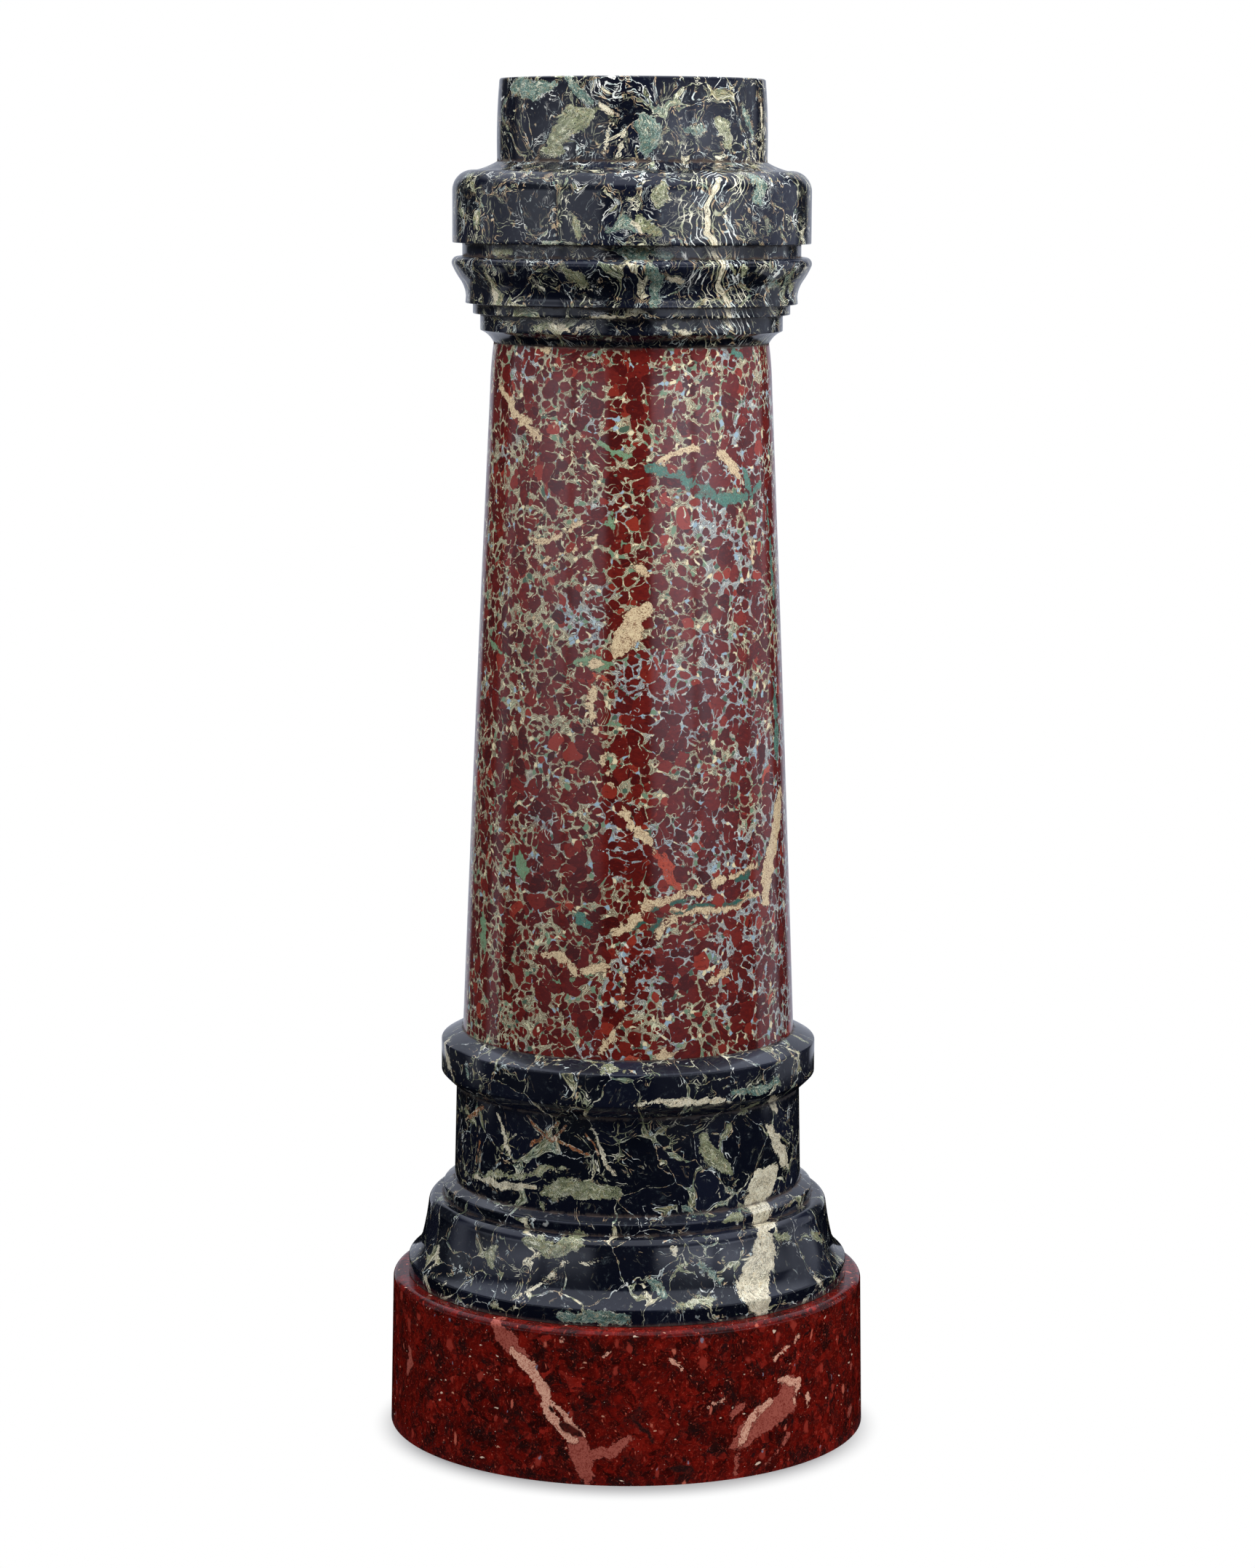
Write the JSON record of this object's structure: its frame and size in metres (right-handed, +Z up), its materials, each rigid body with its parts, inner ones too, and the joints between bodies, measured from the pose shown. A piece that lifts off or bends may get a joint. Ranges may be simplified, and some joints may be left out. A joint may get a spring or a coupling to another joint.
{
  "type": "scagliola column",
  "caption": "Free-standing pedestal column in polished imitation marble: drum plinth, moulded base, tapered shaft and moulded capital with a flat top to carry a bust or vase.",
  "frame": {"origin": "centre of the plinth's underside, on the floor", "axes": "+Z up along the turning axis; the side seen in the picture faces -Y"},
  "size_m": [0.428, 0.428, 1.2],
  "materials": {
    "deep_red_scagliola": "polished imitation marble, deep red with dark mottling and salmon and cream veins",
    "black_green_scagliola": "polished imitation marble, near black with cream, olive and blue-green veins",
    "red_breccia_scagliola": "polished imitation breccia, maroon and red fragments in a sage, cream and grey matrix"
  },
  "bodies": {
    "root": {"plinth": "deep_red_scagliola", "base": "black_green_scagliola", "shaft": "red_breccia_scagliola", "capital": "black_green_scagliola"}
  },
  "joints": []
}
